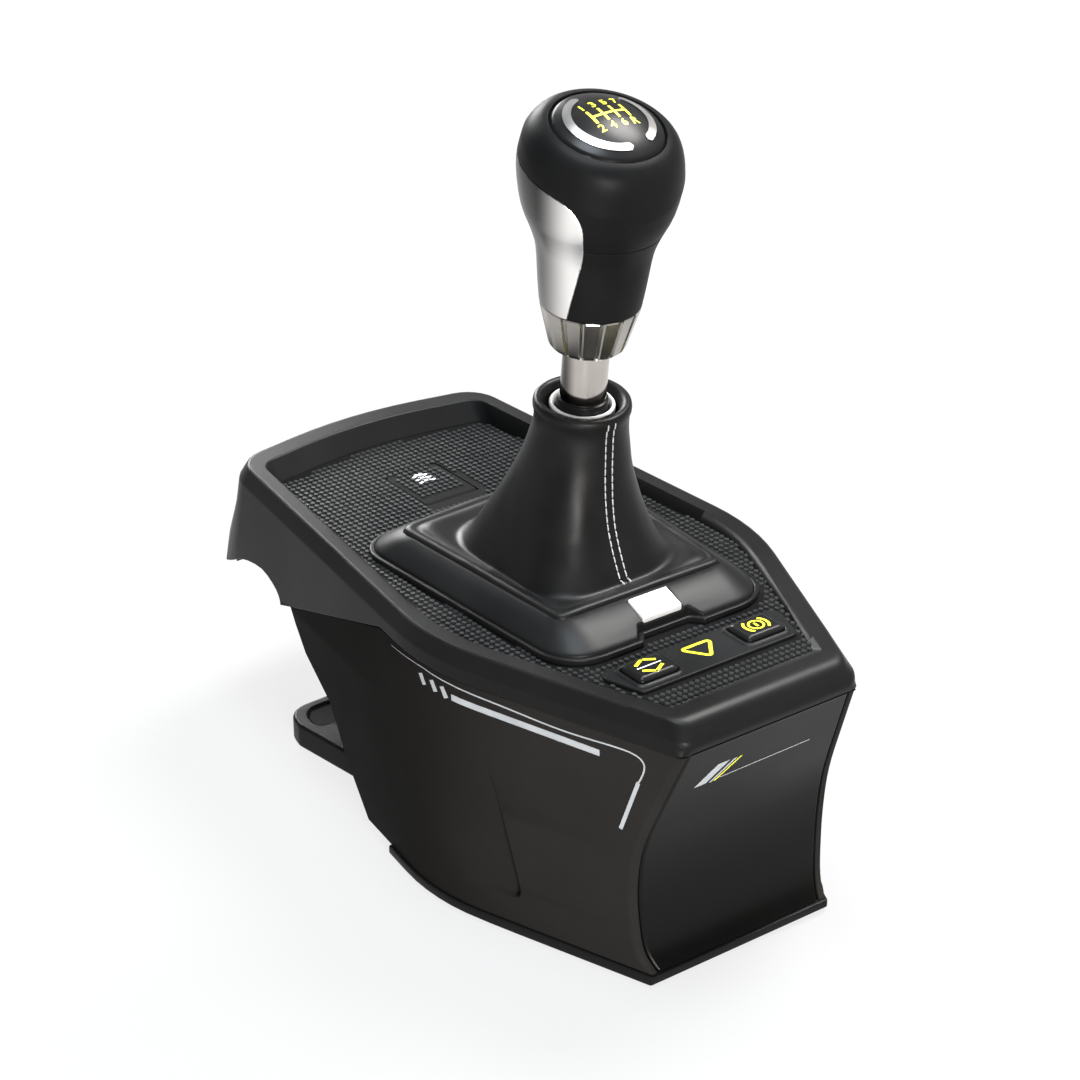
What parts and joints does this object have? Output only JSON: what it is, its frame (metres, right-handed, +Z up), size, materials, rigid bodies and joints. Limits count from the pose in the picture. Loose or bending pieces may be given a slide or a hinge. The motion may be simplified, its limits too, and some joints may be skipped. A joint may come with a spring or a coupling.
{
  "type": "gear_shifter",
  "caption": "Desk-clamped H-pattern gear shifter for racing games: lever with pear knob in a leather boot, two buttons, textured deck, hooked rear lip",
  "frame": {"origin": "middle of the overall box, on the plane the base rests on", "axes": "+X to the user's right, +Y away from the user towards the desk, +Z up"},
  "size_m": [0.135, 0.2509, 0.2623],
  "materials": {
    "shell_black": "fine-grained satin moulding",
    "deck_black": "matte moulding, diamond texture on the deck",
    "gloss_black": "smooth semi-gloss",
    "soft_rubber": "matte ribbed rubber",
    "boot_leather": "grained black leather with pale stitching",
    "knob_black": "soft-touch satin",
    "satin_metal": "satin silver",
    "chrome_metal": "polished",
    "steel": "machined",
    "brass": "turned",
    "board_green": "solder mask"
  },
  "bodies": {
    "base": {"base_plate": "shell_black", "base_pad": "soft_rubber", "threaded_inserts": "brass", "left_side_panel": "shell_black", "right_side_panel": "shell_black", "front_panel": "shell_black", "rear_panel": "deck_black", "top_shell": "shell_black", "desk_pad": "soft_rubber", "deck_panel": "deck_black", "screw_well": "deck_black", "door_hinge_pin": "steel", "boot_frame": "deck_black", "frame_trim": "shell_black", "frame_tab": "satin_metal", "button_plate": "gloss_black", "button_board": "board_green", "main_board": "board_green", "usb_socket": "steel", "case_screws": "steel", "mech_frame": "steel", "pivot_bushes": "brass", "drag_washers": "steel", "detent_plunger": "steel", "gate_plate": "steel", "shift_sensor": "board_green", "boot": "boot_leather", "guide_bushes": "deck_black", "thrust_bush": "brass"},
    "yoke": {"yoke": "steel", "select_pin": "steel", "centring_springs": "steel", "shift_magnet": "steel", "select_sensor": "board_green"},
    "lever": {"lever_hub": "steel", "lever_shaft": "chrome_metal", "boot_bush": "gloss_black", "boot_ring": "chrome_metal", "knob_collar": "chrome_metal", "knob_insert": "brass", "knob_grip": "knob_black", "knob_head": "knob_black", "knob_spine": "satin_metal", "knob_cap": "gloss_black", "cap_arcs": "satin_metal", "select_magnet": "steel"},
    "range_button": {"range_button": "gloss_black"},
    "brake_button": {"brake_button": "gloss_black"},
    "door": {"access_door": "deck_black"},
    "jaw": {"clamp_jaw": "shell_black", "jaw_pad": "soft_rubber", "clamp_nut": "brass", "guide_rods": "steel"},
    "screw": {"clamp_screw": "steel"}
  },
  "joints": [
    {"name": "shift", "type": "hinge", "parent": "base", "child": "yoke", "pos_m": [0, -0.0174, 0.074], "axis": [1, 0, 0], "range_deg": [-11, 11], "deforming": ["boot"]},
    {"name": "select", "type": "hinge", "parent": "yoke", "child": "lever", "pos_m": [0, -0.0174, 0.074], "axis": [0, 0.9945, 0.1045], "range_deg": [-6, 12], "stiffness_Nm_per_rad": 4, "deforming": ["boot"]},
    {"name": "range_press", "type": "slide", "parent": "base", "child": "range_button", "axis": [0, -0.0279, -0.9996], "range_m": [0, 0.0015], "stiffness_N_per_m": 900},
    {"name": "brake_press", "type": "slide", "parent": "base", "child": "brake_button", "axis": [0, -0.0279, -0.9996], "range_m": [0, 0.0015], "stiffness_N_per_m": 900},
    {"name": "door_swing", "type": "hinge", "parent": "base", "child": "door", "pos_m": [0, 0.04994, 0.09345], "axis": [1, 0, 0], "range_deg": [0, 85]},
    {"name": "clamp_slide", "type": "slide", "parent": "base", "child": "jaw", "axis": [0, 0, 1], "range_m": [0, 0.028]},
    {"name": "screw_turn", "type": "hinge", "parent": "base", "child": "screw", "pos_m": [0, 0.058, 0.07], "axis": [0, 0, 1], "range_deg": [-2520, 0]}
  ],
  "couplings": [
    {"joint": "screw_turn", "follows": "clamp_slide", "rad_per_m": -1570.8}
  ]
}
